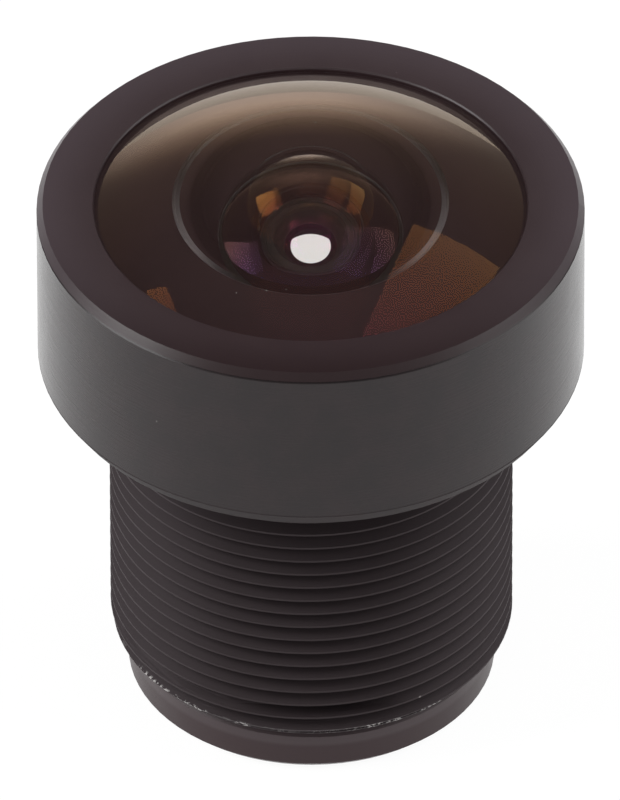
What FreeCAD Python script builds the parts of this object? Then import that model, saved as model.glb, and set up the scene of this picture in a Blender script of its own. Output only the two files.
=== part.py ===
"""Fixed-focus wide-angle board lens with an M12 x 0.5 focusing thread.

Millimetres. The optical axis is Z. Z = 0 is the rear face that meets the camera board side, and
+Z points out of the front glass. Every piece is turned, so most are half sections spun about Z.
"""
import FreeCAD, Part

import math
import os

# Outside of the barrel
PILOT_RADIUS = 5.45
PILOT_TOP = 1.35
PILOT_CHAMFER = 0.25
EDGE_BREAK = 0.08
REAR_GROOVE_RADIUS = 5.28
THREAD_DIAMETER = 11.95
THREAD_PITCH = 0.5
THREAD_BOTTOM = 1.56
THREAD_END_RADIUS = 5.62
THREAD_FULL_FROM = 1.98
THREAD_TOP = 11.13
THREAD_CREST_HEIGHT = 1.94
THREAD_RELIEF_RADIUS = 5.60
HEAD_RADIUS = 8.07
HEAD_BOTTOM = 11.40
HEAD_EDGE_WIDTH = 0.30
HEAD_EDGE_HEIGHT = 0.45
SEAM_HEIGHT = 16.93
SEAM_BREAK = 0.04

# Front ring
RING_FACE = 17.19
RING_FACE_BREAK = 0.04
RING_FACE_RADIUS = 7.89
RING_INNER_FACE_RADIUS = 6.385
RING_LIP_RADIUS = 6.365
RING_BOSS_RADIUS = 7.25
RING_BOSS_BORE = 6.62
RING_BOSS_BOTTOM = 15.20
SEAL_FLOOR = 15.15
HUB_RADIUS = 5.60

# Ring that holds the second glass down
INNER_RING_RADIUS = 4.85
INNER_RING_TOP = 15.80

# Glass: height of each vertex, and radius of curvature (positive is convex to the front)
FRONT_APEX, FRONT_CURVE = 18.98, 11.47
FRONT_REAR_APEX, FRONT_REAR_CURVE = 18.20, 3.85
SECOND_APEX, SECOND_CURVE = 16.11, 32.0
SECOND_REAR_APEX, SECOND_REAR_CURVE = 15.46, 3.20
THIRD_APEX, THIRD_CURVE = 13.27, 9.0
THIRD_REAR_APEX, THIRD_REAR_CURVE = 10.27, -60.0
CROWN_APEX, CROWN_CURVE = 8.27, 60.0
CEMENT_APEX, CEMENT_CURVE = 5.67, -3.5
FLINT_REAR_APEX, FLINT_REAR_CURVE = 5.07, -5.5
LAST_APEX, LAST_CURVE = 4.96, 10.7
LAST_REAR_APEX, LAST_REAR_CURVE = 2.76, -26.0

# Rims of the glass
FRONT_RADIUS = 6.55
FRONT_FLAT = 16.05
FRONT_LIP = 15.95
FRONT_LIP_WIDTH = 0.02
FRONT_BEVEL_WIDTH = 0.18
SECOND_BOSS_RADIUS = 3.30
SECOND_RADIUS = 4.60
SECOND_FLANGE_TOP = 15.20
SECOND_FLAT = 14.25
THIRD_RADIUS = 3.60
THIRD_CLEAR = 3.30
PAIR_RADIUS = 3.00
PAIR_CLEAR = 2.70
PAIR_REAR_CLEAR = 2.45
LAST_RADIUS = 3.90
LAST_CLEAR = 3.30

# Stop, foils, filter and rear ring
STOP_HEIGHT = 8.90
STOP_RADIUS = 1.27
STOP_WALL = 0.30
STOP_WALL_RADIUS = 1.60
FOIL = 0.05
FIT = 0.02
THIRD_APERTURE = 2.25
LAST_APERTURE = 2.08
REAR_RING_RADIUS = 4.50
REAR_RING_BACK = 0.35
REAR_THREAD_TOP = 3.10
LAST_BORE_TOP = 5.20
FILTER_RADIUS = 3.75
FILTER_FRONT = 1.35
FILTER_THICKNESS = 0.40

AXIS = FreeCAD.Vector(0, 0, 1)
ORIGIN = FreeCAD.Vector(0, 0, 0)


def surface_height(apex, curve, radius):
    """Height of a spherical surface at a distance from the axis."""
    return apex - curve + math.copysign(math.sqrt(curve * curve - radius * radius), curve)


class Section:
    """A closed half section, in radius and height, that is spun about the axis."""

    def __init__(self, radius, height):
        self.start = (radius, height)
        self.here = self.start
        self.edges = []

    def point(self, place):
        return FreeCAD.Vector(place[0], 0, place[1])

    def to(self, *places):
        """Go on in straight lines through the given places."""
        for place in places:
            if math.dist(place, self.here) > 1e-9:
                self.edges.append(Part.LineSegment(self.point(self.here), self.point(place)).toShape())
                self.here = place
        return self

    def along(self, apex, curve, radius):
        """Follow a spherical surface to another distance from the axis."""
        end = (radius, surface_height(apex, curve, radius))
        middle = (self.here[0] + radius) / 2
        through = (middle, surface_height(apex, curve, middle))
        arc = Part.Arc(self.point(self.here), self.point(through), self.point(end))
        self.edges.append(arc.toShape())
        self.here = end
        return self

    def solid(self):
        self.to(self.start)
        face = Part.Face(Part.Wire(self.edges))
        return face.revolve(ORIGIN, AXIS, 360)


def cylinder(radius, bottom, top):
    return Part.makeCylinder(radius, top - bottom, FreeCAD.Vector(0, 0, bottom))


def thread_groove():
    """One V groove that winds up the stem and runs out in the reliefs at both ends."""
    crest = THREAD_DIAMETER / 2
    depth = 0.6134 * THREAD_PITCH
    overshoot = 0.025
    half_root = THREAD_PITCH / 12
    half_mouth = half_root + (depth + overshoot) * math.tan(math.radians(30))
    turns = 21.5
    start_angle = 200
    # The crest stands at THREAD_CREST_HEIGHT on the side that faces -Y
    climb_to_front = THREAD_PITCH * (270 - start_angle) / 360
    start = THREAD_CREST_HEIGHT - 2.5 * THREAD_PITCH - climb_to_front
    corners = [
        FreeCAD.Vector(crest - depth, 0, start - half_root),
        FreeCAD.Vector(crest + overshoot, 0, start - half_mouth),
        FreeCAD.Vector(crest + overshoot, 0, start + half_mouth),
        FreeCAD.Vector(crest - depth, 0, start + half_root),
    ]
    helix = Part.makeHelix(THREAD_PITCH, turns * THREAD_PITCH, crest)
    helix.translate(FreeCAD.Vector(0, 0, start))
    outline = Part.makePolygon(corners + corners[:1])
    groove = Part.Wire(helix.Edges).makePipeShell([outline], True, True)
    groove.rotate(ORIGIN, AXIS, start_angle)
    return groove


def focusing_thread():
    """Threaded sleeve of the stem, with its lead-in chamfer at the rear end."""
    crest = THREAD_DIAMETER / 2
    root = 5.2
    sleeve = cylinder(crest, 0.2, 13.2).cut(cylinder(root, 0.2, 13.2))
    wide = crest + 0.125
    slope = (THREAD_FULL_FROM - THREAD_BOTTOM) / (crest - THREAD_END_RADIUS)
    ends = Section(root - 0.2, THREAD_BOTTOM)
    ends.to(
        (THREAD_END_RADIUS, THREAD_BOTTOM),
        (wide, THREAD_BOTTOM + slope * (wide - THREAD_END_RADIUS)),
        (wide, THREAD_TOP),
        (root - 0.2, THREAD_TOP),
    )
    return sleeve.cut(thread_groove()).common(ends.solid())


def barrel_outside():
    """Half section of the outside, from the rear face up to the seam under the front ring."""
    core = 5.45
    section = Section(PILOT_RADIUS - PILOT_CHAMFER, 0)
    section.to(
        (PILOT_RADIUS, PILOT_CHAMFER),
        (PILOT_RADIUS, PILOT_TOP - EDGE_BREAK),
        (PILOT_RADIUS - EDGE_BREAK, PILOT_TOP),
        (REAR_GROOVE_RADIUS, PILOT_TOP),
        (REAR_GROOVE_RADIUS, THREAD_BOTTOM),
        (core, THREAD_BOTTOM),
        (core, THREAD_TOP),
        (THREAD_RELIEF_RADIUS, THREAD_TOP),
        (THREAD_RELIEF_RADIUS, HEAD_BOTTOM),
        (HEAD_RADIUS - HEAD_EDGE_WIDTH, HEAD_BOTTOM),
        (HEAD_RADIUS, HEAD_BOTTOM + HEAD_EDGE_HEIGHT),
        (HEAD_RADIUS, SEAM_HEIGHT - SEAM_BREAK),
        (HEAD_RADIUS - SEAM_BREAK, SEAM_HEIGHT),
    )
    return section


def lens_barrel():
    """Head, threaded stem and rear pilot, turned from one bar and bored from both ends."""
    third_ledge = surface_height(THIRD_APEX, THIRD_CURVE, THIRD_CLEAR) - 0.05
    pair_seat = surface_height(CROWN_APEX, CROWN_CURVE, PAIR_CLEAR)
    ring_bore = INNER_RING_RADIUS + FIT
    rear_bore = REAR_RING_RADIUS + FIT
    section = barrel_outside()
    # Down the front bore to the stop
    section.to(
        (RING_BOSS_RADIUS + FIT, SEAM_HEIGHT),
        (RING_BOSS_RADIUS + FIT, SEAL_FLOOR),
        (HUB_RADIUS, SEAL_FLOOR),
        (HUB_RADIUS, FRONT_FLAT),
        (ring_bore + 0.1, FRONT_FLAT),
        (ring_bore, FRONT_FLAT - 0.1),
        (ring_bore, SECOND_FLANGE_TOP - 0.1),
        (SECOND_RADIUS + FIT, SECOND_FLANGE_TOP - 0.1),
        (SECOND_RADIUS + FIT, third_ledge),
        (THIRD_RADIUS + FIT, third_ledge),
        (THIRD_RADIUS + FIT, STOP_HEIGHT),
        (STOP_WALL_RADIUS, STOP_HEIGHT),
        (STOP_WALL_RADIUS, STOP_HEIGHT - STOP_WALL),
    )
    # On down the rear bore to the rear face
    section.to(
        (PAIR_CLEAR + 0.02, pair_seat),
        (PAIR_RADIUS + FIT, pair_seat),
        (PAIR_RADIUS + FIT, LAST_BORE_TOP),
        (LAST_RADIUS + FIT, LAST_BORE_TOP),
        (LAST_RADIUS + FIT, REAR_THREAD_TOP),
        (rear_bore, REAR_THREAD_TOP),
        (rear_bore, 0.15),
        (rear_bore + 0.15, 0),
    )
    return section.solid().fuse(focusing_thread())


def front_retaining_ring():
    """Flanged ring that screws into the head and holds the front glass by its dome."""
    gap = 0.005
    section = Section(RING_INNER_FACE_RADIUS + RING_FACE_BREAK, RING_FACE)
    section.to(
        (RING_FACE_RADIUS, RING_FACE),
        (HEAD_RADIUS, SEAM_HEIGHT + SEAM_BREAK),
        (HEAD_RADIUS - SEAM_BREAK, SEAM_HEIGHT),
        (RING_BOSS_RADIUS, SEAM_HEIGHT),
        (RING_BOSS_RADIUS, RING_BOSS_BOTTOM + 0.1),
        (RING_BOSS_RADIUS - 0.1, RING_BOSS_BOTTOM),
        (RING_BOSS_BORE, RING_BOSS_BOTTOM),
        (RING_BOSS_BORE, surface_height(FRONT_APEX + gap, FRONT_CURVE + gap, RING_BOSS_BORE)),
    )
    section.along(FRONT_APEX + gap, FRONT_CURVE + gap, RING_LIP_RADIUS)
    section.to((RING_INNER_FACE_RADIUS, RING_FACE - RING_FACE_BREAK))
    return section.solid()


def cup_mouth(apex, curve, rim):
    """Radius at which a hollow rear surface reaches the height of its rim."""
    return math.sqrt(curve ** 2 - (curve - (apex - rim)) ** 2)


def front_lens():
    """Strong meniscus: a dome in front, and behind it a deep cup whose bevelled lip stands proud."""
    cup_radius = cup_mouth(FRONT_REAR_APEX, FRONT_REAR_CURVE, FRONT_LIP)
    lip_radius = cup_radius + FRONT_LIP_WIDTH
    section = Section(0, FRONT_APEX)
    section.along(FRONT_APEX, FRONT_CURVE, FRONT_RADIUS - EDGE_BREAK)
    section.to(
        (FRONT_RADIUS, section.here[1] - 2 * EDGE_BREAK),
        (FRONT_RADIUS, FRONT_FLAT + EDGE_BREAK),
        (FRONT_RADIUS - EDGE_BREAK, FRONT_FLAT),
        (lip_radius + FRONT_BEVEL_WIDTH, FRONT_FLAT),
        (lip_radius, FRONT_LIP),
        (cup_radius, FRONT_LIP),
    )
    section.along(FRONT_REAR_APEX, FRONT_REAR_CURVE, 0)
    return section.solid()


def front_o_ring():
    """Seal squeezed flat between the front glass and the head."""
    middle_radius = (HUB_RADIUS + RING_BOSS_BORE) / 2
    middle_height = (SEAL_FLOOR + FRONT_FLAT) / 2
    torus = Part.makeTorus(middle_radius, 0.49, FreeCAD.Vector(0, 0, middle_height), AXIS)
    return torus.common(cylinder(RING_BOSS_BORE, SEAL_FLOOR, FRONT_FLAT))


def spanner_slots(outer, inner, bottom, top):
    """Two slots across a ring, for a spanner."""
    width = 0.80
    slots = Part.makeBox(2 * outer + 1, width, top - bottom,
                         FreeCAD.Vector(-outer - 0.5, -width / 2, bottom))
    return slots.cut(cylinder(inner, bottom, top))


def inner_retaining_ring():
    """Threaded ring that holds the second glass and all below it."""
    top = INNER_RING_TOP
    section = Section(SECOND_BOSS_RADIUS + 0.16, SECOND_FLANGE_TOP)
    section.to(
        (INNER_RING_RADIUS - 0.1, SECOND_FLANGE_TOP),
        (INNER_RING_RADIUS, SECOND_FLANGE_TOP + 0.1),
        (INNER_RING_RADIUS, top),
        (SECOND_BOSS_RADIUS + 0.30, top),
    )
    return section.solid().cut(spanner_slots(INNER_RING_RADIUS, 4.1, top - 0.35, top + 0.1))


def second_lens():
    """Moulded negative meniscus with a flange."""
    boss_top = surface_height(SECOND_APEX, SECOND_CURVE, SECOND_BOSS_RADIUS)
    cup_radius = cup_mouth(SECOND_REAR_APEX, SECOND_REAR_CURVE, SECOND_FLAT)
    section = Section(0, SECOND_APEX)
    section.along(SECOND_APEX, SECOND_CURVE, SECOND_BOSS_RADIUS)
    section.to(
        (SECOND_BOSS_RADIUS, boss_top),
        (SECOND_BOSS_RADIUS + 0.10, SECOND_FLANGE_TOP),
        (SECOND_RADIUS, SECOND_FLANGE_TOP),
        (SECOND_RADIUS, SECOND_FLAT),
        (cup_radius, SECOND_FLAT),
    )
    section.along(SECOND_REAR_APEX, SECOND_REAR_CURVE, 0)
    return section.solid()


def foil(outer, inner, bottom):
    """Thin black ring cut from film."""
    return cylinder(outer, bottom, bottom + FOIL).cut(cylinder(inner, bottom - 1, bottom + 1))


def middle_spacer():
    """Cone that sets the second air gap and masks the rim of the third glass."""
    top = SECOND_FLAT - FOIL
    bottom = surface_height(THIRD_APEX, THIRD_CURVE, THIRD_CLEAR)
    lip_bottom = surface_height(THIRD_APEX, THIRD_CURVE, THIRD_APERTURE) + 0.04
    section = Section(3.90, top)
    section.to(
        (SECOND_RADIUS, top),
        (SECOND_RADIUS, bottom),
        (THIRD_CLEAR + 0.02, bottom),
        (THIRD_APERTURE, lip_bottom),
        (THIRD_APERTURE, lip_bottom + 0.08),
    )
    steps = 4
    step_run = (3.90 - THIRD_APERTURE) / steps
    step_rise = (top - lip_bottom - 0.08) / steps
    for step in range(steps):
        radius = THIRD_APERTURE + step * step_run
        height = lip_bottom + 0.08 + step * step_rise
        section.to((radius + step_run, height + 0.25 * step_rise), (radius + step_run, height + step_rise))
    return section.solid()


def third_lens():
    """Thick positive element of dense glass."""
    section = Section(0, THIRD_APEX)
    section.along(THIRD_APEX, THIRD_CURVE, THIRD_CLEAR)
    front_flat = section.here[1]
    rear_flat = surface_height(THIRD_REAR_APEX, THIRD_REAR_CURVE, THIRD_CLEAR)
    section.to((THIRD_RADIUS, front_flat), (THIRD_RADIUS, rear_flat), (THIRD_CLEAR, rear_flat))
    section.along(THIRD_REAR_APEX, THIRD_REAR_CURVE, 0)
    return section.solid()


def stop_spacer():
    """Conical ring between the third glass and the stop."""
    top = surface_height(THIRD_REAR_APEX, THIRD_REAR_CURVE, THIRD_CLEAR)
    bottom = STOP_HEIGHT + FOIL
    section = Section(THIRD_CLEAR + 0.02, top)
    section.to(
        (THIRD_RADIUS, top),
        (THIRD_RADIUS, bottom),
        (1.70, bottom),
        (1.70, bottom + 0.15),
        (2.40, top - 0.15),
    )
    return section.solid()


def crown_element():
    """Front half of the cemented pair."""
    section = Section(0, CROWN_APEX)
    section.along(CROWN_APEX, CROWN_CURVE, PAIR_CLEAR)
    section.to((PAIR_RADIUS, section.here[1]),
               (PAIR_RADIUS, surface_height(CEMENT_APEX, CEMENT_CURVE, PAIR_RADIUS)))
    section.along(CEMENT_APEX, CEMENT_CURVE, 0)
    return section.solid()


def flint_element():
    """Rear half of the cemented pair."""
    section = Section(0, CEMENT_APEX)
    section.along(CEMENT_APEX, CEMENT_CURVE, PAIR_RADIUS)
    rear_flat = surface_height(FLINT_REAR_APEX, FLINT_REAR_CURVE, PAIR_REAR_CLEAR)
    section.to((PAIR_RADIUS, rear_flat), (PAIR_REAR_CLEAR, rear_flat))
    section.along(FLINT_REAR_APEX, FLINT_REAR_CURVE, 0)
    return section.solid()


def rear_spacer():
    """Stepped ring between the cemented pair and the last glass, with a thin lip that trims the light."""
    opening = 2.60
    clearance = 0.06
    top = surface_height(FLINT_REAR_APEX, FLINT_REAR_CURVE, PAIR_REAR_CLEAR) - FOIL
    step = LAST_BORE_TOP - 0.05
    bottom = surface_height(LAST_APEX, LAST_CURVE, LAST_CLEAR)
    section = Section(opening, top)
    section.to(
        (PAIR_RADIUS, top),
        (PAIR_RADIUS, step),
        (LAST_RADIUS, step),
        (LAST_RADIUS, bottom),
        (LAST_CLEAR + 0.02, bottom),
        (opening, surface_height(LAST_APEX, LAST_CURVE, opening) + clearance),
        (LAST_APERTURE, surface_height(LAST_APEX, LAST_CURVE, LAST_APERTURE) + clearance),
        (LAST_APERTURE, LAST_APEX - 0.06),
        (opening, LAST_APEX + 0.14),
    )
    return section.solid()


def rear_lens():
    """Last positive element."""
    section = Section(0, LAST_APEX)
    section.along(LAST_APEX, LAST_CURVE, LAST_CLEAR)
    front_flat = section.here[1]
    rear_flat = surface_height(LAST_REAR_APEX, LAST_REAR_CURVE, LAST_CLEAR)
    section.to((LAST_RADIUS, front_flat), (LAST_RADIUS, rear_flat), (LAST_CLEAR, rear_flat))
    section.along(LAST_REAR_APEX, LAST_REAR_CURVE, 0)
    return section.solid()


def rear_retaining_ring():
    """Threaded ring that holds the rear stack and carries the filter in its back."""
    top = surface_height(LAST_REAR_APEX, LAST_REAR_CURVE, LAST_CLEAR)
    pocket = FILTER_RADIUS + 0.05
    section = Section(LAST_CLEAR + 0.05, top)
    section.to(
        (REAR_RING_RADIUS - 0.15, top),
        (REAR_RING_RADIUS, top - 0.15),
        (REAR_RING_RADIUS, REAR_RING_BACK + EDGE_BREAK),
        (REAR_RING_RADIUS - EDGE_BREAK, REAR_RING_BACK),
        (pocket + EDGE_BREAK, REAR_RING_BACK),
        (pocket, REAR_RING_BACK + EDGE_BREAK),
        (pocket, FILTER_FRONT),
        (LAST_CLEAR + 0.05, FILTER_FRONT),
    )
    slots = spanner_slots(REAR_RING_RADIUS, FILTER_RADIUS, REAR_RING_BACK - 0.1, REAR_RING_BACK + 0.45)
    return section.solid().cut(slots)


def ir_cut_filter():
    """Round filter plate with ground edges."""
    back = FILTER_FRONT - FILTER_THICKNESS
    plate = cylinder(FILTER_RADIUS, back, FILTER_FRONT)
    rims = [edge for edge in plate.Edges if edge.Closed and isinstance(edge.Curve, Part.Circle)]
    return plate.makeChamfer(0.06, rims)


def filter_adhesive():
    """Cured bead round the back of the filter."""
    back = FILTER_FRONT - FILTER_THICKNESS
    pocket = FILTER_RADIUS + 0.05
    section = Section(pocket, back)
    section.to((pocket, back - 0.16), (pocket - 0.12, back - 0.13), (pocket - 0.28, back))
    return section.solid()


def ring_lock_adhesive():
    """Three cured dots that lock the rear ring to the barrel."""
    count = 3
    first_angle = 30
    radius = 0.42
    room = cylinder(REAR_RING_RADIUS + FIT, 0.1, REAR_RING_BACK)
    dots = []
    for index in range(count):
        angle = math.radians(first_angle + index * 360 / count)
        reach = REAR_RING_RADIUS - 0.12
        centre = FreeCAD.Vector(reach * math.cos(angle), reach * math.sin(angle), REAR_RING_BACK + 0.26)
        dots.append(Part.makeSphere(radius, centre).common(room))
    return Part.makeCompound([dot.Solids[0] for dot in dots])


def build_pieces():
    """Every piece by its node name."""
    shield_bottom = SECOND_FLAT - FOIL
    rear_shield_bottom = surface_height(FLINT_REAR_APEX, FLINT_REAR_CURVE, PAIR_REAR_CLEAR) - FOIL
    return {
        "lens_barrel": lens_barrel(),
        "front_retaining_ring": front_retaining_ring(),
        "front_lens": front_lens(),
        "front_o_ring": front_o_ring(),
        "inner_retaining_ring": inner_retaining_ring(),
        "second_lens": second_lens(),
        "front_light_shield": foil(SECOND_RADIUS, 2.45, shield_bottom),
        "middle_spacer": middle_spacer(),
        "third_lens": third_lens(),
        "stop_spacer": stop_spacer(),
        "aperture_stop": foil(THIRD_RADIUS, STOP_RADIUS, STOP_HEIGHT),
        "crown_element": crown_element(),
        "flint_element": flint_element(),
        "rear_light_shield": foil(PAIR_RADIUS, PAIR_REAR_CLEAR + 0.01, rear_shield_bottom),
        "rear_spacer": rear_spacer(),
        "rear_lens": rear_lens(),
        "rear_retaining_ring": rear_retaining_ring(),
        "ir_cut_filter": ir_cut_filter(),
        "filter_adhesive": filter_adhesive(),
        "ring_lock_adhesive": ring_lock_adhesive(),
    }


def main():
    os.makedirs("parts", exist_ok=True)
    for name, shape in build_pieces().items():
        solids = len(shape.Solids)
        print(name, "solids", solids, "volume", round(shape.Volume, 3), "valid", shape.isValid())
        shape.exportStep(os.path.join("parts", name + ".step"))


main()
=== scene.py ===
"""Looks of a fixed-focus wide-angle board lens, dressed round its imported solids.

The black turned parts keep their solids and get anodised finishes. The glass is turned again,
finely enough to bend light cleanly, from the same apex heights and radii as the solids.
"""

import logging
import math
from dataclasses import dataclass
from enum import Enum

import bmesh
import bpy
from mathutils import Matrix, Vector


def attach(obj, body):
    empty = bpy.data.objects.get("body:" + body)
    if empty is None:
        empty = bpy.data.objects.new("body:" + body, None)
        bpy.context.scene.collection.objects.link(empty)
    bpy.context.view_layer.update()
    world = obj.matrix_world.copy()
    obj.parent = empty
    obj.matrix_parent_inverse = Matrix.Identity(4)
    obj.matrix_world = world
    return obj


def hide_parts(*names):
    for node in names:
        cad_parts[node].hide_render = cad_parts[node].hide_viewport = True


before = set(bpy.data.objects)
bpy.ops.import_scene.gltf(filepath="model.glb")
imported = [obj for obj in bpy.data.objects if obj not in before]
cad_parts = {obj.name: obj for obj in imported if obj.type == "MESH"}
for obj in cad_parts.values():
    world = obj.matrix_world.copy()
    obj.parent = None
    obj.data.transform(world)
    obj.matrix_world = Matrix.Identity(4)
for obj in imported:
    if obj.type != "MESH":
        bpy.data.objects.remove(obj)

MM = 0.001
Colour = tuple[float, float, float]
Direction = tuple[float, float, float]
Range = tuple[float, float]
Stops = tuple[tuple[float, float], ...]

logging.basicConfig(level=logging.INFO, format="%(message)s")
log = logging.getLogger("board_lens")


class Value:
    """A number in a shader, on which Python arithmetic adds Math nodes."""

    def __init__(self, graph: "Graph", socket: bpy.types.NodeSocket) -> None:
        """Keeps the graph that the socket belongs to."""
        self.graph = graph
        self.socket = socket

    def math(self, operation: str, *operands: "Value | float") -> "Value":
        """Adds one Math node.

        Args:
            operation: Blender's name for the operation.
            operands: Every operand in order.

        Returns:
            The result of the node.
        """
        inputs = {index: operand for index, operand in enumerate(operands)}
        node = self.graph.node("ShaderNodeMath", {"operation": operation}, inputs)
        return Value(self.graph, node.outputs[0])

    def __add__(self, other: "Value | float") -> "Value":
        """self + other."""
        return self.math("ADD", self, other)

    def __radd__(self, other: float) -> "Value":
        """other + self."""
        return self.math("ADD", other, self)

    def __sub__(self, other: "Value | float") -> "Value":
        """self - other."""
        return self.math("SUBTRACT", self, other)

    def __rsub__(self, other: float) -> "Value":
        """other - self."""
        return self.math("SUBTRACT", other, self)

    def __mul__(self, other: "Value | float") -> "Value":
        """self * other."""
        return self.math("MULTIPLY", self, other)

    def __rmul__(self, other: float) -> "Value":
        """other * self."""
        return self.math("MULTIPLY", other, self)

    def __pow__(self, other: float) -> "Value":
        """self ** other."""
        return self.math("POWER", self, other)

    def sine(self) -> "Value":
        """Sine of a value in radians."""
        return self.math("SINE", self)

    def size(self) -> "Value":
        """The value without its sign."""
        return self.math("ABSOLUTE", self)

    def larger(self, other: "Value | float") -> "Value":
        """The larger of two values."""
        return self.math("MAXIMUM", self, other)

    def step(self, low: float, high: float) -> "Value":
        """Rises smoothly from 0 at low to 1 at high.

        Args:
            low: Value at which the result is 0.
            high: Value at which the result is 1. It may be below low.

        Returns:
            The smooth step.
        """
        settings = {"interpolation_type": "SMOOTHSTEP"}
        inputs = {"Value": self, "From Min": low, "From Max": high, "To Min": 0.0, "To Max": 1.0}
        if high < low:
            inputs.update({"From Min": high, "From Max": low, "To Min": 1.0, "To Max": 0.0})
        node = self.graph.node("ShaderNodeMapRange", settings, inputs)
        return Value(self.graph, node.outputs["Result"])

    def band(self, low: float, high: float, soft: float) -> "Value":
        """1 between low and high, and 0 outside.

        Args:
            low: Lower end of the band.
            high: Upper end of the band.
            soft: Width over which it rises and falls.

        Returns:
            The band as a mask.
        """
        return self.step(low - soft, low) * self.step(high + soft, high)


class Graph:
    """The node tree of one material or of the world."""

    def __init__(self, tree: bpy.types.NodeTree) -> None:
        """Empties the tree."""
        self.tree = tree
        tree.nodes.clear()

    def node(self, kind: str, settings: dict | None = None, inputs: dict | None = None) -> bpy.types.Node:
        """Adds any node.

        Args:
            kind: Blender's name of the node type.
            settings: Properties of the node, set before its sockets. A key "stops" fills a ramp.
            inputs: A value, Value or socket for each input, by name or index.

        Returns:
            The new node.
        """
        made = self.tree.nodes.new(kind)
        for key, setting in (settings or {}).items():
            if key == "stops":
                self.fill_ramp(made.color_ramp, setting)
            else:
                setattr(made, key, setting)
        for key, given in (inputs or {}).items():
            if isinstance(given, Value):
                given = given.socket
            if isinstance(given, bpy.types.NodeSocket):
                self.tree.links.new(given, made.inputs[key])
            else:
                made.inputs[key].default_value = given
        return made

    def fill_ramp(self, ramp: bpy.types.ColorRamp, stops: list[tuple[float, Colour]]) -> None:
        """Sets the stops of a colour ramp.

        Args:
            ramp: The ramp to fill.
            stops: Position and colour of each stop, in rising order.
        """
        while len(ramp.elements) > 1:
            ramp.elements.remove(ramp.elements[-1])
        for index, (position, colour) in enumerate(stops):
            element = ramp.elements[0] if index == 0 else ramp.elements.new(position)
            element.position = position
            element.color = (*colour, 1.0)

    def position(self) -> "Place":
        """Where a point is on the object, in millimetres."""
        coordinates = self.node("ShaderNodeTexCoord").outputs["Object"]
        scale = {0: coordinates, "Scale": 1.0 / MM}
        scaled = self.node("ShaderNodeVectorMath", {"operation": "SCALE"}, scale)
        split = self.node("ShaderNodeSeparateXYZ", None, {0: scaled.outputs[0]})
        x, y, z = (Value(self, split.outputs[index]) for index in range(3))
        return Place(self, scaled.outputs[0], x, y, z)

    def noise(self, where: bpy.types.NodeSocket, scale: float, detail: float = 3.0) -> Value:
        """Smooth noise from 0 to 1.

        Args:
            where: The coordinates to sample.
            scale: Features for each unit of the coordinates.
            detail: How many finer layers it has.

        Returns:
            The noise.
        """
        inputs = {"Vector": where, "Scale": scale, "Detail": detail}
        return Value(self, self.node("ShaderNodeTexNoise", {"noise_dimensions": "3D"}, inputs).outputs[0])

    def blend(self, factor: Value | float, first: object, second: object) -> bpy.types.NodeSocket:
        """Mixes two colours.

        Args:
            factor: 0 gives the first colour and 1 the second.
            first: A colour or a colour socket.
            second: A colour or a colour socket.

        Returns:
            The mixed colour.
        """
        inputs = {0: factor}
        for index, colour in ((6, first), (7, second)):
            inputs[index] = (*colour, 1.0) if isinstance(colour, tuple) else colour
        return self.node("ShaderNodeMix", {"data_type": "RGBA"}, inputs).outputs[2]

    def bump(self, height: Value, strength: float, depth: float) -> bpy.types.NodeSocket:
        """A bumped normal.

        Args:
            height: The height field, about 0 to 1.
            strength: How strongly it tilts the surface.
            depth: Depth of a unit of height, in millimetres.

        Returns:
            The normal.
        """
        inputs = {"Height": height, "Strength": strength, "Distance": depth * MM}
        return self.node("ShaderNodeBump", None, inputs).outputs[0]


@dataclass
class Place:
    """A point on the object, with its coordinates in millimetres."""

    graph: Graph
    vector: bpy.types.NodeSocket
    x: Value
    y: Value
    z: Value

    def radius(self) -> Value:
        """Distance from the optical axis."""
        return (self.x * self.x + self.y * self.y) ** 0.5

    def turns(self) -> Value:
        """Angle about the axis in radians, counter-clockwise from +X."""
        return self.x.math("ARCTAN2", self.y, self.x)

    def rings(self, across: float, along: float) -> bpy.types.NodeSocket:
        """Coordinates that are stretched round the axis, for turned lines.

        Args:
            across: Scale of the radius and the height.
            along: Scale of the direction round the axis.

        Returns:
            The coordinates.
        """
        radius = self.radius()
        joined = self.graph.node(
            "ShaderNodeCombineXYZ",
            None,
            {0: radius * across, 1: self.z * across, 2: self.turns().sine() * along},
        )
        return joined.outputs[0]

    def near(self, centre: tuple[float, float, float], size: float) -> Value:
        """A round spot.

        Args:
            centre: The middle of the spot, in millimetres.
            size: Its radius.

        Returns:
            1 in the spot and 0 outside.
        """
        inputs = {0: self.vector, 1: centre}
        away = self.graph.node("ShaderNodeVectorMath", {"operation": "DISTANCE"}, inputs)
        return Value(self.graph, away.outputs["Value"]).step(size, 0.6 * size)


def surface(graph: Graph, inputs: dict) -> bpy.types.Node:
    """Adds a Principled shader.

    Args:
        graph: The material's graph.
        inputs: Values or links of its sockets.

    Returns:
        The shader node.
    """
    for key, given in inputs.items():
        if isinstance(given, tuple) and len(given) == 3:
            inputs[key] = (*given, 1.0)
    return graph.node("ShaderNodeBsdfPrincipled", None, inputs)


def new_material(name: str) -> tuple[bpy.types.Material, Graph]:
    """Starts an empty material.

    Args:
        name: Its name.

    Returns:
        The material and its graph.
    """
    material = bpy.data.materials.new(name)
    material.use_nodes = True
    return material, Graph(material.node_tree)


def finish_material(graph: Graph, shader: bpy.types.NodeSocket) -> None:
    """Joins a shader to the output."""
    graph.node("ShaderNodeOutputMaterial", None, {"Surface": shader})


class Wear(Enum):
    """How much bare metal shows through an anodised finish."""

    NONE = 0
    THREAD_ENDS = 1


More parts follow.
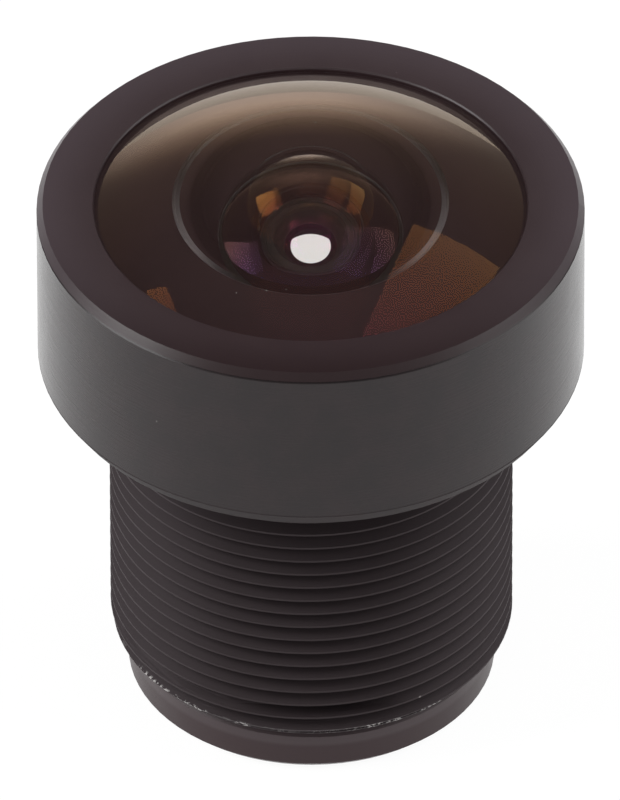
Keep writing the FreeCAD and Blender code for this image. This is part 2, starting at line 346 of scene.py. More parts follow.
@dataclass(frozen=True)
class Anodised:
    """Black anodised aluminium with fine turned lines."""

    name: str
    base: Colour
    warm: Colour
    roughness: float
    lines: float
    wear: Wear = Wear.NONE
    index: float = 1.5
    # Painted light on a face: a painted highlight towards the rim on the far side, painted shade on the near
    # side.
    far_rim_painted_highlight: Colour | None = None
    near_rim_painted_shade: Colour | None = None
    rim: Range = (6.2, 8.2)
    near_to_far: Range = (-8.0, 0.0)
    thread_from: float = 1.50
    thread_to: float = 11.30
    thread_roughness: float = 0.75
    thread_base: Colour = (0.027, 0.019, 0.021)
    # Painted sheen: the thread is painted lighter towards its left and right sides, along x.
    thread_painted_sheen: Colour = (0.046, 0.036, 0.039)
    thread_sheen_span: Range = (2.0, 5.6)
    # Painted highlight: the pilot is painted lighter at its top than at its foot.
    pilot_painted_highlight: Colour = (0.052, 0.036, 0.039)
    pilot_foot: Colour = (0.030, 0.015, 0.017)
    pilot_blend: Range = (0.85, 1.05)
    pilot_roughness: float = 0.45
    bare_metal: Colour = (0.55, 0.53, 0.52)
    first_turn: Range = (1.60, 1.93)
    lead_in: Range = (5.56, 5.61)
    worn: tuple[Range, ...] = ((-5.0, -4.5), (-4.4, -3.2), (-2.2, -1.9), (1.7, 2.65), (3.2, 4.6))
    chamfer: Range = (11.35, 11.88)
    chamfer_edge: Range = (7.5, 7.7)
    chamfer_roughness: float = 0.45
    speck: Colour = (0.30, 0.28, 0.27)

    def material(self) -> bpy.types.Material:
        """Builds the material."""
        material, graph = new_material(self.name)
        place = graph.position()
        turned = graph.noise(place.rings(9.0, 0.5), 3.0, 4.0)
        mottle = graph.noise(place.vector, 0.9, 4.0)
        grain = graph.noise(place.vector, 45.0, 2.0)
        colour = graph.blend(mottle.step(0.3, 0.7), self.base, self.warm)
        # Painted highlight on the far side of the face and painted shade on its near side.
        if self.far_rim_painted_highlight and self.near_rim_painted_shade:
            colour = self.paint_face_light(graph, place, colour)
        rough = self.roughness + (mottle - 0.5) * 0.08 + (turned - 0.5) * 0.10
        height = turned * 0.7 + grain * 0.3
        inputs: dict[str, object] = {"IOR": self.index}
        # Besides the worn thread ends, this block paints sheen on the thread's sides and a highlight on the
        # top of the pilot.
        if self.wear is Wear.THREAD_ENDS:
            thread = place.z.band(self.thread_from, self.thread_to, 0.05)
            # Painted sheen, lighter towards the left and right sides of the thread.
            aside = place.x.size().step(*self.thread_sheen_span)
            thread_with_painted_sheen = graph.blend(aside, self.thread_base, self.thread_painted_sheen)
            colour = graph.blend(thread, colour, thread_with_painted_sheen)
            # Painted highlight on the top of the pilot, fading to its darker foot.
            pilot_with_painted_highlight = graph.blend(place.z.step(*self.pilot_blend), self.pilot_foot, self.pilot_painted_highlight)
            foot = place.z.step(self.thread_from, self.thread_from - 0.05)
            colour = graph.blend(foot, colour, pilot_with_painted_highlight)
            rough = rough + thread * (self.thread_roughness - self.roughness)
            rough = rough + foot * (self.pilot_roughness - self.roughness)
            chamfer = place.z.band(*self.chamfer, 0.03) * place.radius().step(*self.chamfer_edge)
            rough = rough + chamfer * self.chamfer_roughness
            bare = self.bare(graph, place)
            colour = graph.blend(bare, colour, self.bare_metal)
            inputs["Metallic"] = bare * 0.3
        inputs["Base Color"] = graph.blend(self.dust(graph, place), colour, self.speck)
        inputs["Roughness"] = rough
        inputs["Normal"] = graph.bump(height, self.lines, 0.012)
        finish_material(graph, surface(graph, inputs).outputs[0])
        return material

    def paint_face_light(self, graph: Graph, place: Place, colour: bpy.types.NodeSocket) -> bpy.types.NodeSocket:
        """Paints a highlight on a face towards its rim on the far side, and paints shade on its near side.

        Args:
            graph: The material's graph.
            place: The point on the object.
            colour: The plain finish.

        Returns:
            The finish with its painted highlight and painted shade.
        """
        rim = place.radius().step(*self.rim)
        near = graph.blend(rim, colour, self.near_rim_painted_shade)
        far = graph.blend(rim, colour, self.far_rim_painted_highlight)
        return graph.blend(place.y.step(*self.near_to_far), near, far)

    def dust(self, graph: Graph, place: Place) -> Value:
        """Sparse pale specks of dust.

        Args:
            graph: The material's graph.
            place: The point on the object.

        Returns:
            The mask of the specks.
        """
        inputs = {"Vector": place.vector, "Scale": 0.55, "Randomness": 1.0}
        cells = graph.node("ShaderNodeTexVoronoi", {"feature": "F1"}, inputs)
        return Value(graph, cells.outputs["Distance"]).step(0.028, 0.012) * 0.8

    def bare(self, graph: Graph, place: Place) -> Value:
        """Fine chips along the first turn of the thread, where it is screwed in.

        Args:
            graph: The material's graph.
            place: The point on the object.

        Returns:
            The mask of bare metal.
        """
        edge = place.radius().step(*self.lead_in)
        first_turn = place.z.band(*self.first_turn, 0.05)
        chips = graph.noise(place.vector, 9.0, 5.0).step(0.51, 0.58)
        patches = graph.noise(place.vector, 0.45, 2.0).step(0.46, 0.58) * 0.25
        for start, end in self.worn:
            patches = patches.larger(place.x.band(start, end, 0.15))
        return edge * first_turn * chips * patches


@dataclass(frozen=True)
class DeepBlack:
    """Matt black of pieces that only have to swallow light."""

    name: str
    base: Colour
    roughness: float
    grain: float = 0.3
    # Painted glow: an emission that lifts the black as if lit.
    painted_glow: Colour = (0.0, 0.0, 0.0)

    def material(self) -> bpy.types.Material:
        """Builds the material."""
        material, graph = new_material(self.name)
        place = graph.position()
        turned = graph.noise(place.rings(6.0, 0.4), 3.0, 3.0)
        cloud = graph.noise(place.vector, 3.0, 3.0)
        colour = graph.blend(cloud.step(0.3, 0.7), self.base, tuple(1.5 * part for part in self.base))
        inputs = {
            "Base Color": colour,
            "Roughness": self.roughness + (turned - 0.5) * 0.15,
            "Normal": graph.bump(turned, self.grain, 0.012),
            "IOR": 1.45,
            # Painted glow that lifts the black.
            "Emission Color": self.painted_glow,
            "Emission Strength": 1.0,
        }
        finish_material(graph, surface(graph, inputs).outputs[0])
        return material


@dataclass(frozen=True)
class Cured:
    """Cured adhesive, glossy and slightly uneven."""

    name: str
    base: Colour
    clear: float

    def material(self) -> bpy.types.Material:
        """Builds the material."""
        material, graph = new_material(self.name)
        place = graph.position()
        swell = graph.noise(place.vector, 4.0, 2.0)
        inputs = {
            "Base Color": graph.blend(swell, self.base, tuple(0.7 * part for part in self.base)),
            "Roughness": 0.18 + swell * 0.15,
            "Normal": graph.bump(swell, 0.35, 0.05),
            "Transmission Weight": self.clear,
            "IOR": 1.5,
        }
        finish_material(graph, surface(graph, inputs).outputs[0])
        return material


@dataclass(frozen=True)
class Polished:
    """A polished glass surface with an anti-reflection film on it."""

    name: str
    index: float
    film: float = 100.0
    film_index: float = 1.38
    tint: Colour = (1.0, 1.0, 1.0)
    grains: tuple[tuple[float, float, float], ...] = ()
    grain_cover: float = 0.5

    def material(self) -> bpy.types.Material:
        """Builds the material."""
        material, graph = new_material(self.name)
        place = graph.position()
        smear = graph.noise(place.vector, 0.8, 3.0)
        glass = surface(
            graph,
            {
                "Base Color": graph.blend(smear, self.tint, tuple(0.995 * part for part in self.tint)),
                "Roughness": 0.0,
                "IOR": self.index,
                "Transmission Weight": 1.0,
                "Thin Film Thickness": self.film,
                "Thin Film IOR": self.film_index,
            },
        )
        shader = glass.outputs[0]
        if self.grains:
            shader = self.add_dust(graph, place, shader)
        finish_material(graph, shader)
        return material

    def add_dust(self, graph: Graph, place: Place, glass: bpy.types.NodeSocket) -> bpy.types.NodeSocket:
        """Lays a few grains of dust on the front glass.

        Args:
            graph: The material's graph.
            place: The point on the object.
            glass: The clean glass.

        Returns:
            The glass with its dust.
        """
        mask: Value | None = None
        for x, y, size in self.grains:
            height = sphere_height(FrontGlass.apex, FrontGlass.curve, math.hypot(x, y))
            spot = place.near((x, y, height), size)
            mask = spot if mask is None else mask.larger(spot)
        dust = surface(graph, {"Base Color": (0.35, 0.32, 0.30), "Roughness": 0.8})
        inputs = {0: mask * self.grain_cover, 1: glass, 2: dust.outputs[0]}
        return graph.node("ShaderNodeMixShader", None, inputs).outputs[0]


@dataclass(frozen=True)
class Cement:
    """The clear joint of the cemented pair, on the side that the light crosses unbent."""

    name: str

    def material(self) -> bpy.types.Material:
        """Builds the material."""
        material, graph = new_material(self.name)
        finish_material(graph, graph.node("ShaderNodeBsdfTransparent").outputs[0])
        return material


@dataclass(frozen=True)
class Ink:
    """Black ink on a ground rim of glass. Its painted glow stands in for the light that the glass scatters
    in front of it.
    """

    name: str
    base: Colour
    roughness: float = 0.6
    painted_glow: Colour = (0.0, 0.0, 0.0)

    def material(self) -> bpy.types.Material:
        """Builds the material."""
        material, graph = new_material(self.name)
        place = graph.position()
        cloud = graph.noise(place.vector, 2.0, 4.0)
        inputs = {
            "Base Color": graph.blend(cloud, self.base, tuple(1.3 * part for part in self.base)),
            "Roughness": self.roughness + (cloud - 0.5) * 0.2,
            "Specular IOR Level": 0.0,
            "Normal": graph.bump(graph.noise(place.vector, 30.0, 2.0), 0.03, 0.01),
            # Painted glow that lifts the ink's black.
            "Emission Color": self.painted_glow,
            "Emission Strength": 1.0,
        }
        finish_material(graph, surface(graph, inputs).outputs[0])
        return material


@dataclass(frozen=True)
class Ground:
    """Ground glass, seen from the inside of the glass. Its far and near sides are darkened with painted
    shade.
    """

    name: str
    base: Colour
    far_and_near_painted_shade: Colour
    roughness: float
    far_side: Range = (1.3, -1.6)
    near_side: Range = (-2.9, -1.6)

    def material(self) -> bpy.types.Material:
        """Builds the material."""
        material, graph = new_material(self.name)
        place = graph.position()
        grit = graph.noise(place.vector, 22.0, 3.0)
        bare = graph.blend(grit, self.base, tuple(0.8 * part for part in self.base))
        # Painted shade over the far and near sides of the bevel; the bare ground glass shows between them.
        unshaded = place.y.step(*self.far_side) * place.y.step(*self.near_side)
        inputs = {
            "Base Color": graph.blend(unshaded, self.far_and_near_painted_shade, bare),
            "Roughness": self.roughness + (grit - 0.5) * 0.1,
            "IOR": 1.6,
            "Normal": graph.bump(grit, 0.15, 0.01),
        }
        finish_material(graph, surface(graph, inputs).outputs[0])
        return material


class Turning:
    """A half section, drawn along from point to point and then spun about the optical axis."""

    AROUND = 224

    def __init__(self, radius: float, height: float) -> None:
        """Starts at a radius and height in millimetres."""
        self.mesh = bmesh.new()
        self.tip = self.mesh.verts.new((radius * MM, 0.0, height * MM))
        self.zones: dict[int, list[bmesh.types.BMEdge]] = {}

    def line(self, radius: float, height: float, zone: int) -> None:
        """Draws straight on.

        Args:
            radius: Radius of the end, in millimetres.
            height: Height of the end.
            zone: Number of the finish that this stretch gets.
        """
        end = self.mesh.verts.new((radius * MM, 0.0, height * MM))
        self.zones.setdefault(zone, []).append(self.mesh.edges.new((self.tip, end)))
        self.tip = end

    def arc(self, apex: float, curve: float, radius: float, zone: int, steps: int = 48) -> None:
        """Draws on along a spherical surface.

        Args:
            apex: Height of the surface on the axis, in millimetres.
            curve: Its radius of curvature, positive if it is convex to the front.
            radius: Where the arc ends.
            zone: Number of the finish that this stretch gets.
            steps: How many pieces the arc has.
        """
        centre = apex - curve
        end = centre + math.copysign(math.sqrt(curve * curve - radius * radius), curve)
        angle_here = math.atan2(self.tip.co.x / MM, self.tip.co.z / MM - centre)
        angle_end = math.atan2(radius, end - centre)
        before = set(self.mesh.edges)
        made = bmesh.ops.spin(
            self.mesh,
            geom=[self.tip],
            cent=(0.0, 0.0, centre * MM),
            axis=(0.0, 1.0, 0.0),
            dvec=(0.0, 0.0, 0.0),
            angle=angle_end - angle_here,
            steps=steps,
            use_merge=False,
            use_normal_flip=False,
            use_duplicate=False,
        )
        new = [edge for edge in self.mesh.edges if edge not in before]
        self.zones.setdefault(zone, []).extend(new)
        self.tip = next(item for item in made["geom_last"] if isinstance(item, bmesh.types.BMVert))

    def spin(self, name: str, finishes: list[bpy.types.Material], sharp: float = 20.0) -> bpy.types.Object:
        """Spins the section into a closed piece.

        Args:
            name: Name of the piece.
            finishes: The material of each zone.
            sharp: Angle in degrees above which an edge stays sharp.

        Returns:
            The piece.
        """
        for zone, edges in self.zones.items():
            before = set(self.mesh.faces)
            ends = list({vert for edge in edges for vert in edge.verts})
            bmesh.ops.spin(
                self.mesh,
                geom=ends + edges,
                cent=(0.0, 0.0, 0.0),
                axis=(0.0, 0.0, 1.0),
                dvec=(0.0, 0.0, 0.0),
                angle=math.tau,
                steps=self.AROUND,
                use_merge=True,
                use_normal_flip=False,
                use_duplicate=False,
            )
            for face in self.mesh.faces:
                if face not in before:
                    face.material_index = zone
        bmesh.ops.remove_doubles(self.mesh, verts=self.mesh.verts, dist=1e-7)
        bmesh.ops.dissolve_degenerate(self.mesh, edges=self.mesh.edges, dist=1e-8)
        bmesh.ops.recalc_face_normals(self.mesh, faces=self.mesh.faces)
        self.mesh.normal_update()
        for face in self.mesh.faces:
            face.smooth = True
        for edge in self.mesh.edges:
            edge.smooth = edge.calc_face_angle(0.0) < math.radians(sharp)
        data = bpy.data.meshes.new(name)
        self.mesh.to_mesh(data)
        self.mesh.free()
        for finish in finishes:
            data.materials.append(finish)
        piece = bpy.data.objects.new(name, data)
        bpy.context.scene.collection.objects.link(piece)
        return piece


def stands_for(piece: bpy.types.Object, node: str) -> None:
    """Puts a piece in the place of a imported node.

    Args:
        piece: The new piece.
        node: The node that it stands for.
    """
    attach(piece, "root")
    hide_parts(node)
    log.info("%s: %d faces", piece.name, len(piece.data.polygons))


def dress(node: str, material: bpy.types.Material) -> None:
    """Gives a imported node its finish.

    Args:
        node: The node's name.
        material: The finish.
    """
    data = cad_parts[node].data
    data.materials.clear()
    data.materials.append(material)
    log.info("%s: %s", node, material.name)


@dataclass
class TurnedParts:
    """The black parts of the barrel, which keep their solids."""

    outside: Anodised = Anodised(
        "anodised_barrel", (0.016, 0.011, 0.012), (0.020, 0.013, 0.014),
        roughness=0.27, lines=0.25, wear=Wear.THREAD_ENDS, index=1.33,
    )
    ring: Anodised = Anodised(
        "anodised_ring", (0.028, 0.015, 0.017), (0.031, 0.017, 0.019),
        roughness=0.40, lines=0.30, index=1.42,
        # Painted highlight towards the far rim of the ring's face, painted shade towards its near rim.
        far_rim_painted_highlight=(0.051, 0.035, 0.041), near_rim_painted_shade=(0.013, 0.003, 0.004),
    )
    # Inner parts and foils glow faintly: painted light that lifts their blacks.
    inside: DeepBlack = DeepBlack("anodised_inside", (0.035, 0.026, 0.024), 0.6, painted_glow=(0.015, 0.012, 0.011))
    film: DeepBlack = DeepBlack("black_film", (0.032, 0.022, 0.022), 0.6, 0.1, painted_glow=(0.011, 0.007, 0.0075))
    seal: DeepBlack = DeepBlack("seal_rubber", (0.010, 0.010, 0.010), 0.55)

    def dress(self) -> None:
        """Gives every turned part, foil and seal its finish."""
        dress("lens_barrel", self.outside.material())
        dress("front_retaining_ring", self.ring.material())
        inside = self.inside.material()
        for node in (
            "inner_retaining_ring", "middle_spacer", "stop_spacer", "rear_spacer", "rear_retaining_ring",
        ):
            dress(node, inside)
        film = self.film.material()
        for node in ("front_light_shield", "aperture_stop", "rear_light_shield"):
            dress(node, film)
        dress("front_o_ring", self.seal.material())
        dress("filter_adhesive", Cured("clear_adhesive", (0.62, 0.58, 0.42), 0.5).material())
        dress("ring_lock_adhesive", Cured("black_adhesive", (0.02, 0.02, 0.02), 0.0).material())


@dataclass
class FrontGlass:
    """The domed front element, with a bevelled lip round its cup and ink on its rim."""

    apex: float = 18.98
    curve: float = 11.47
    cup_apex: float = 18.20
    cup_curve: float = 3.85
    radius: float = 6.55
    flat: float = 16.053
    lip: float = 15.95
    lip_width: float = 0.02
    bevel_width: float = 0.08
    edge: float = 0.08
    glass: Polished = Polished(
        "front_glass_polish", 1.79, film=92.0,
        grains=((-2.18, -4.80, 0.028), (-1.30, -4.85, 0.030), (-0.72, -4.87, 0.022),
                (0.15, 1.75, 0.035), (2.90, 2.40, 0.020), (-3.60, 1.20, 0.018)),
    )
    cup: Polished = Polished("front_glass_cup", 1.79, film=163.0)
    # The ink's glow is painted light.
    ink: Ink = Ink("front_rim_ink", (0.030, 0.018, 0.017), painted_glow=(0.016, 0.010, 0.0105))
    # The bevel's far and near sides get painted shade.
    ground: Ground = Ground("ground_bevel", (0.36, 0.30, 0.29), (0.050, 0.030, 0.028), 0.45)

    def build(self) -> None:
        """Turns the element and puts it in its node's place."""
        mouth = cup_mouth(self.cup_apex, self.cup_curve, self.lip)
        section = Turning(0.0, self.apex)
        section.arc(self.apex, self.curve, self.radius - self.edge, 0, 96)
        top = section.tip.co.z / MM
        section.line(self.radius, top - 2 * self.edge, 2)
        section.line(self.radius, self.flat + self.edge, 2)
        section.line(self.radius - self.edge, self.flat, 2)
        section.line(mouth + self.lip_width + self.bevel_width, self.flat, 2)
        section.line(mouth + self.lip_width, self.lip, 3)
        section.line(mouth, self.lip, 3)
        section.arc(self.cup_apex, self.cup_curve, 0.0, 1, 72)
        finishes = [self.glass.material(), self.cup.material(), self.ink.material(), self.ground.material()]
        stands_for(section.spin("front_glass", finishes), "front_lens")


def cup_mouth(apex: float, curve: float, rim: float) -> float:
    """Radius at which a hollow rear surface reaches its rim.

    Args:
        apex: Height of the surface on the axis.
        curve: Its radius of curvature.
        rim: Height of the rim.

    Returns:
        The radius of the rim.
    """
    return math.sqrt(curve ** 2 - (curve - (apex - rim)) ** 2)


def sphere_height(apex: float, curve: float, radius: float) -> float:
    """Height of a spherical surface at a radius.

    Args:
        apex: Height of the surface on the axis.
        curve: Its radius of curvature.
        radius: Distance from the axis.

    Returns:
        The height there.
    """
    return apex - curve + math.copysign(math.sqrt(curve ** 2 - radius ** 2), curve)


@dataclass
class SecondGlass:
    """The moulded second element, with a flange and a hollow rear."""

    apex: float = 16.11
    curve: float = 32.0
    cup_apex: float = 15.46
    cup_curve: float = 3.20
    boss: float = 3.30
    boss_taper: float = 0.10
    radius: float = 4.60
    flange: float = 15.20
    flat: float = 14.253
    glass: Polished = Polished("second_glass_polish", 1.53, film=107.0, film_index=1.30)
    cup: Polished = Polished("second_glass_cup", 1.53, film=160.0, film_index=1.26)
    # The ink's glow is painted light.
    ink: Ink = Ink("second_rim_ink", (0.016, 0.010, 0.0095), painted_glow=(0.015, 0.009, 0.0095))

    def build(self) -> None:
        """Turns the element and puts it in its node's place."""
        section = Turning(0.0, self.apex)
        section.arc(self.apex, self.curve, self.boss, 0, 32)
        section.line(self.boss + self.boss_taper, self.flange, 1)
        section.line(self.radius, self.flange, 1)
        section.line(self.radius, self.flat, 1)
        section.line(cup_mouth(self.cup_apex, self.cup_curve, self.flat), self.flat, 1)
        section.arc(self.cup_apex, self.cup_curve, 0.0, 2, 48)
        finishes = [self.glass.material(), self.ink.material(), self.cup.material()]
        piece = section.spin("second_glass", finishes)
        stands_for(piece, "second_lens")


@dataclass
class Element:
    """A plain round element with ground, inked rims."""

    name: str
    node: str
    apex: float
    curve: float
    rear_apex: float
    rear_curve: float
    radius: float
    clear: float
    front: Polished
    rear: Polished

    def build(self) -> None:
        """Turns the element and puts it in its node's place."""
        rear_rim = sphere_height(self.rear_apex, self.rear_curve, self.clear)
        section = Turning(0.0, self.apex)
        section.arc(self.apex, self.curve, self.clear, 0, 40)
        section.line(self.radius, sphere_height(self.apex, self.curve, self.clear), 2)
        section.line(self.radius, rear_rim, 2)
        section.line(self.clear, rear_rim, 2)
        section.arc(self.rear_apex, self.rear_curve, 0.0, 1, 40)
        ink = Ink(self.name + "_rim_ink", (0.008, 0.006, 0.006)).material()
        piece = section.spin(self.name, [self.front.material(), self.rear.material(), ink])
        stands_for(piece, self.node)


@dataclass
class RearOptics:
    """The glass behind the second element, down to the filter."""

    dense: float = 1.85
    crown: float = 1.60
    pair_apex: float = 8.27
    pair_curve: float = 60.0
    pair_clear: float = 2.70
    pair_radius: float = 3.00
    joint_apex: float = 5.67
    joint_curve: float = -3.5
    joint_gap: float = 0.003
    pair_rear_apex: float = 5.07
    pair_rear_curve: float = -5.5
    pair_rear_clear: float = 2.45
    filter_front: float = 1.35
    filter_back: float = 0.95
    filter_radius: float = 3.75
    filter_edge: float = 0.06

    def build(self) -> None:
        """Builds the third element, the cemented pair, the last element and the filter."""
        Element(
            "third_glass", "third_lens",
            apex=13.27, curve=9.0, rear_apex=10.27, rear_curve=-60.0, radius=3.60, clear=3.30,
            front=Polished("third_front_polish", self.dense, 100.0, 1.34),
            rear=Polished("third_rear_polish", self.dense, 185.0, 1.36),
        ).build()
        self.build_pair()
        Element(
            "rear_glass", "rear_lens",
            apex=4.96, curve=10.7, rear_apex=2.76, rear_curve=-26.0, radius=3.90, clear=3.30,
            front=Polished("rear_front_polish", self.crown, 100.0, 1.28),
            rear=Polished("rear_rear_polish", self.crown, 160.0, 1.28),
        ).build()
        self.build_filter()

    def build_pair(self) -> None:
        """Builds the two halves of the cemented pair. The joint bends light once, on the rear half."""
        crown = Turning(0.0, self.pair_apex)
        crown.arc(self.pair_apex, self.pair_curve, self.pair_clear, 0, 32)
        crown.line(self.pair_radius, sphere_height(self.pair_apex, self.pair_curve, self.pair_clear), 2)
        crown.line(self.pair_radius, sphere_height(self.joint_apex, self.joint_curve, self.pair_radius), 2)
        crown.arc(self.joint_apex, self.joint_curve, 0.0, 1, 48)
        ink = Ink("pair_rim_ink", (0.008, 0.006, 0.006)).material()
        polish = Polished("crown_polish", self.crown, 100.0, 1.28).material()
        joint = Cement("cement_joint").material()
        stands_for(crown.spin("crown_glass", [polish, joint, ink]), "crown_element")
        flint_apex = self.joint_apex - self.joint_gap
        flint = Turning(0.0, flint_apex)
        flint.arc(flint_apex, self.joint_curve, self.pair_radius, 0, 48)
        rim = sphere_height(self.pair_rear_apex, self.pair_rear_curve, self.pair_rear_clear)
        flint.line(self.pair_radius, rim, 2)
        flint.line(self.pair_rear_clear, rim, 2)
        flint.arc(self.pair_rear_apex, self.pair_rear_curve, 0.0, 1, 40)
        bend = Polished("cement_bend", self.dense / self.crown, film=0.0).material()
        back = Polished("flint_polish", self.dense, 185.0, 1.36).material()
        stands_for(flint.spin("flint_glass", [bend, back, ink]), "flint_element")

    def build_filter(self) -> None:
        """Builds the filter plate with its ground edge."""
        edge = self.filter_edge
        plate = Turning(0.0, self.filter_front)
        plate.line(self.filter_radius - edge, self.filter_front, 0)
        plate.line(self.filter_radius, self.filter_front - edge, 1)
        plate.line(self.filter_radius, self.filter_back + edge, 1)
        plate.line(self.filter_radius - edge, self.filter_back, 1)
        plate.line(0.0, self.filter_back, 0)
        face = Polished("filter_coating", 1.52, film=300.0, film_index=1.75).material()
        ground = Ink("filter_ground_edge", (0.25, 0.28, 0.28), 0.8).material()
        stands_for(plate.spin("filter_plate", [face, ground]), "ir_cut_filter")


def matrix_from_axes(x: Vector, y: Vector, z: Vector, origin: Vector) -> Matrix:
    """A placement from its three axes.

    Args:
        x: First axis.
        y: Second axis.
        z: Third axis.
        origin: Where it stands.

    Returns:
        The 4 by 4 matrix.
    """
    columns = [(*x, 0.0), (*y, 0.0), (*z, 0.0), (*origin, 1.0)]
    return Matrix(columns).transposed()


@dataclass(frozen=True)
class Softbox:
    """A rectangular lamp. Three of its corners give its place, as directions from the front glass."""

    name: str
    far_top: Direction
    far_bottom: Direction
    near_top: Direction
    radiance: float
    distance: float = 0.40
    glass_height: float = 17.5

    def hang(self) -> None:
        """Hangs the lamp so that it faces the glass."""
        glass = Vector((0.0, 0.0, self.glass_height * MM))
        corner = glass + Vector(self.far_top) * self.distance
        down = Vector(self.far_bottom) * self.distance + glass - corner
        across = Vector(self.near_top) * self.distance + glass - corner
        centre = corner + (down + across) / 2
        side = across.normalized()
        up = (side * down.dot(side) - down).normalized()
        away = side.cross(up)
        if away.dot(centre - glass) < 0.0:
            side, away = -side, -away
        data = bpy.data.lights.new(self.name, "AREA")
        data.shape = "RECTANGLE"
        data.size = across.length
        data.size_y = down.length
        data.energy = self.radiance * math.pi * data.size * data.size_y
        lamp = bpy.data.objects.new(self.name, data)
        lamp.matrix_world = matrix_from_axes(side, up, away, centre)
        bpy.context.scene.collection.objects.link(lamp)
        lamp.visible_camera = False


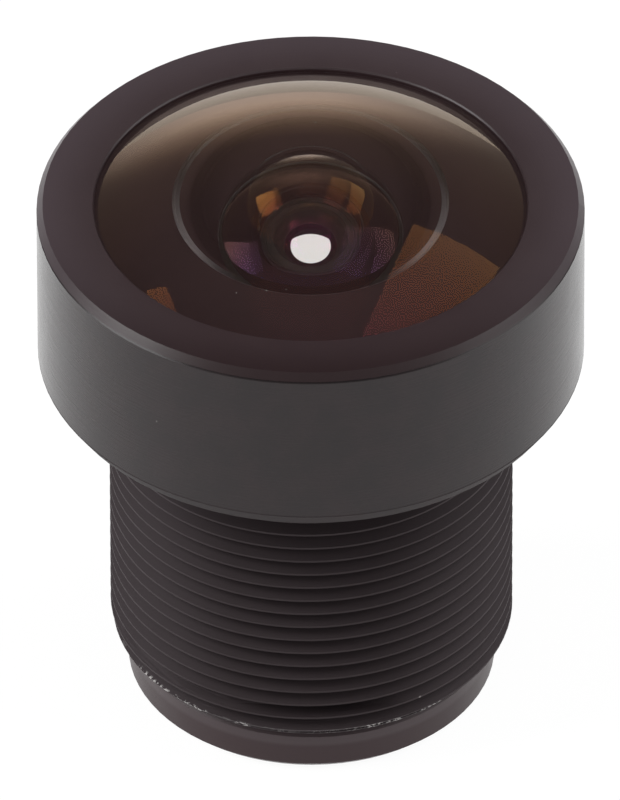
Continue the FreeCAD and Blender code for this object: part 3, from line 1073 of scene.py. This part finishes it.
@dataclass
class Studio:
    """Floor, light and camera."""

    elevation: float = 39.2
    aim_height: float = 9.722
    aim_side: float = -0.03
    roll: float = -0.13
    pixels_per_mm: float = 33.80
    picture_height: int = 800
    focal: float = 1340.0
    sensor: float = 36.0
    floor_size: float = 1.6
    floor_drop: float = 0.02
    floor_shadow: float = 0.10
    floor_white: float = 1.05
    floor_glow: float = 1.42
    floor_through_glass: Colour = (0.88, 0.79, 0.83)
    window_tint: Colour = (1.02, 0.94, 0.95)
    window_side: float = 0.08
    window_edges: Range = (0.52, 0.05)
    away_edges: Range = (-0.05, -0.45)
    brightest: float = 2.5
    far: Stops = ((0.0, 1.9), (0.05, 2.15), (0.10, 2.4), (0.15, 2.3), (0.20, 2.0), (0.26, 1.6), (0.32, 1.1),
                  (0.37, 0.8), (0.42, 0.5), (0.48, 0.25), (0.70, 0.12), (0.95, 0.12), (0.975, 0.5))
    side: Stops = ((0.0, 0.32), (0.20, 0.28), (0.33, 0.25), (0.55, 0.20), (0.70, 0.10), (0.95, 0.12),
                   (0.975, 0.5))
    near: Stops = ((0.0, 1.0), (0.20, 0.6), (0.95, 0.5), (0.975, 0.5))
    softboxes: tuple[Softbox, ...] = (
        Softbox("right_box_top", (0.405, 0.46, 0.79), (0.636, 0.352, 0.513), (0.245, -0.246, 0.933), 2.1),
        Softbox("right_box_foot", (0.715, 0.395, 0.577), (1.151, 0.345, 0.379), (0.661, -0.37, 0.651), 3.4),
        Softbox("left_box_top", (-0.613, 0.184, 0.768), (-0.596, 0.187, 0.605), (-0.516, -0.255, 0.77), 3.0),
        Softbox("left_box_foot", (-0.7, 0.165, 0.695), (-0.945, 0.114, 0.305), (-0.618, -0.329, 0.708), 8.0),
    )

    def build(self) -> None:
        """Builds the floor, the world, the softboxes and the camera."""
        self.build_floor()
        self.build_world()
        for box in self.softboxes:
            box.hang()
        self.build_camera()
        cycles = bpy.context.scene.cycles
        cycles.max_bounces = 32
        cycles.transmission_bounces = 32
        cycles.glossy_bounces = 12
        bpy.context.scene.view_settings.view_transform = "Standard"

    def build_floor(self) -> None:
        """A plain white floor that keeps a faint shadow and shows white in glass and gloss."""
        material, graph = new_material("white_floor")
        path = graph.node("ShaderNodeLightPath")
        seen = Value(graph, path.outputs["Is Camera Ray"]) * (1.0 - self.floor_shadow)
        white = (1.0, 1.0, 1.0)
        inputs = {"Base Color": (0.86, 0.86, 0.86), "Roughness": 0.9, "Specular IOR Level": 0.0}
        shader = surface(graph, inputs).outputs[0]
        for mask, glow in (
            (seen, self.glow(graph, white, self.floor_white)),
            (path.outputs["Is Glossy Ray"], self.glow(graph, white, self.floor_glow)),
            (path.outputs["Is Transmission Ray"], self.glow(graph, self.floor_through_glass, 1.0)),
        ):
            shader = graph.node("ShaderNodeMixShader", None, {0: mask, 1: shader, 2: glow}).outputs[0]
        finish_material(graph, shader)
        mesh = bmesh.new()
        bmesh.ops.create_grid(mesh, x_segments=1, y_segments=1, size=self.floor_size)
        data = bpy.data.meshes.new("floor")
        mesh.to_mesh(data)
        mesh.free()
        data.materials.append(material)
        floor = bpy.data.objects.new("floor", data)
        floor.location.z = -self.floor_drop * MM
        bpy.context.scene.collection.objects.link(floor)

    def glow(self, graph: Graph, colour: Colour, strength: float) -> bpy.types.NodeSocket:
        """An even emission."""
        inputs = {"Color": (*colour, 1.0), "Strength": strength}
        return graph.node("ShaderNodeEmission", None, inputs).outputs[0]

    def build_world(self) -> None:
        """White to the camera. For all else a bright far horizon, dimmer sides and a dark ceiling."""
        world = bpy.data.worlds.new("studio")
        bpy.context.scene.world = world
        world.use_nodes = True
        graph = Graph(world.node_tree)
        path = graph.node("ShaderNodeLightPath")
        direction = graph.node("ShaderNodeTexCoord").outputs["Generated"]
        split = graph.node("ShaderNodeSeparateXYZ", None, {0: direction})
        tints = (self.window_tint, (1.0, 1.0, 1.0), (1.0, 1.0, 1.0))
        levels = (self.far, self.side, self.near)
        far, side, near = (self.ramp(graph, split.outputs[2], *pair) for pair in zip(levels, tints))
        right, away = (Value(graph, split.outputs[index]) for index in range(2))
        aside = (right.math("ARCTAN2", right, away) + self.window_side).size()
        around = graph.blend(aside.step(*self.window_edges), side, far)
        around = graph.blend(away.step(*self.away_edges), around, near)
        sky = graph.node("ShaderNodeBackground", None, {"Color": around, "Strength": 1.0})
        white = graph.node("ShaderNodeBackground", None, {"Color": (1.0, 1.0, 1.0, 1.0), "Strength": 1.0})
        inputs = {0: path.outputs["Is Camera Ray"], 1: sky.outputs[0], 2: white.outputs[0]}
        mixed = graph.node("ShaderNodeMixShader", None, inputs)
        graph.node("ShaderNodeOutputWorld", None, {"Surface": mixed.outputs[0]})

    def ramp(
        self, graph: Graph, height: bpy.types.NodeSocket, stops: Stops, tint: Colour
    ) -> bpy.types.NodeSocket:
        """Brightness of the surroundings by height.

        Args:
            graph: The world's graph.
            height: Sine of the elevation.
            stops: Height and brightness of each stop.
            tint: Colour of the light.

        Returns:
            The brightness as a colour.
        """
        colours = [(place, tuple(level / self.brightest * part for part in tint)) for place, level in stops]
        ramp = graph.node("ShaderNodeValToRGB", {"stops": colours}, {0: height}).outputs[0]
        scale = {0: ramp, "Scale": self.brightest}
        return graph.node("ShaderNodeVectorMath", {"operation": "SCALE"}, scale).outputs[0]

    def build_camera(self) -> None:
        """A long lens, so that the view is nearly parallel, at the photograph's angle."""
        data = bpy.data.cameras.new("camera")
        data.lens = self.focal
        data.sensor_width = self.sensor
        data.clip_start = 0.01
        data.clip_end = 5.0
        height = self.picture_height / self.pixels_per_mm * MM
        distance = height * self.focal / self.sensor
        tilt = math.radians(self.elevation)
        back = Vector((0.0, -math.cos(tilt), math.sin(tilt)))
        camera = bpy.data.objects.new("camera", data)
        camera.location = Vector((self.aim_side * MM, 0.0, self.aim_height * MM)) + back * distance
        roll = Matrix.Rotation(math.radians(self.roll), 3, "Z")
        camera.rotation_euler = ((-back).to_track_quat("-Z", "Y").to_matrix() @ roll).to_euler()
        bpy.context.scene.collection.objects.link(camera)
        bpy.context.scene.camera = camera


def main() -> None:
    """Builds the lens from the outside in, then the studio."""
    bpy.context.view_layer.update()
    TurnedParts().dress()
    FrontGlass().build()
    SecondGlass().build()
    RearOptics().build()
    Studio().build()


if __name__ == "__main__":
    main()
